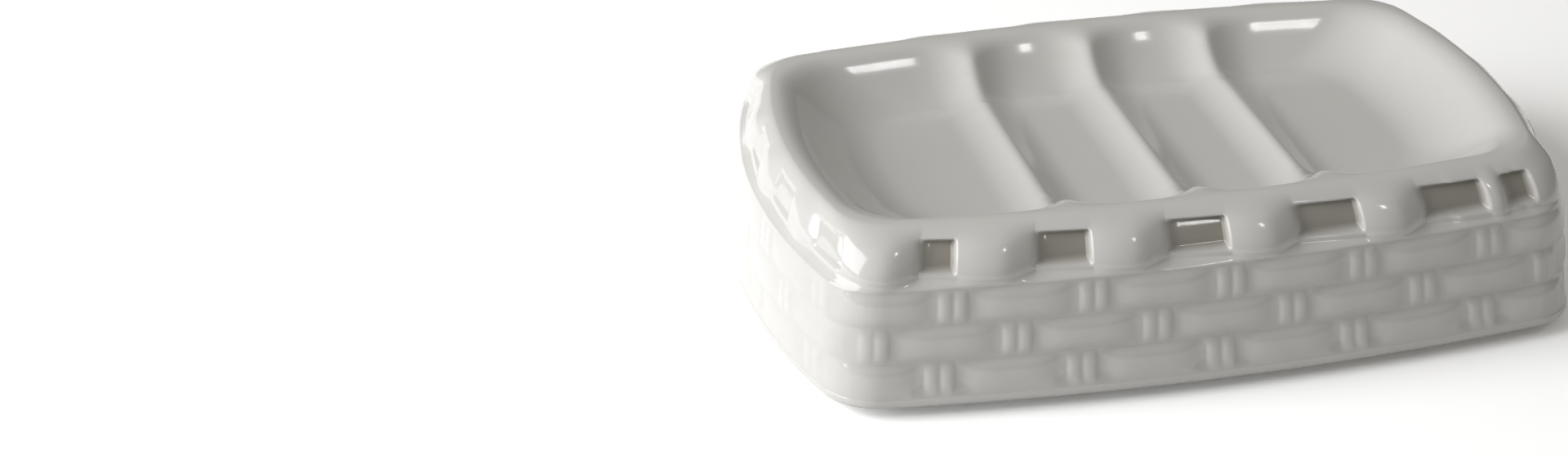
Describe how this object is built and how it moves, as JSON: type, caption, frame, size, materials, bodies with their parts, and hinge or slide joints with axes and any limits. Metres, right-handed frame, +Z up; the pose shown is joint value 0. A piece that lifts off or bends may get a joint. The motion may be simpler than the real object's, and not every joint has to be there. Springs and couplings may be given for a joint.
{
  "type": "soap dish",
  "caption": "Oblong glazed ceramic soap dish with basket-weave sides, a scalloped rim and a shallow ridged basin, on soft pads.",
  "frame": {"origin": "on the table, under the middle of the dish", "axes": "+X along the length, -Y towards the front, +Z up"},
  "size_m": [0.135, 0.09, 0.028],
  "materials": {
    "glaze": "gloss white glaze",
    "plug_silicone": "satin moulded silicone",
    "pad_silicone": "satin moulded silicone",
    "adhesive": "matt foam tape"
  },
  "bodies": {
    "root": {"dish_body": "glaze", "vent_plug": "plug_silicone", "foot_pad_front_left": "pad_silicone", "foot_pad_front_right": "pad_silicone", "foot_pad_back_left": "pad_silicone", "foot_pad_back_right": "pad_silicone", "adhesive_disc_front_left": "adhesive", "adhesive_disc_front_right": "adhesive", "adhesive_disc_back_left": "adhesive", "adhesive_disc_back_right": "adhesive"}
  },
  "joints": []
}
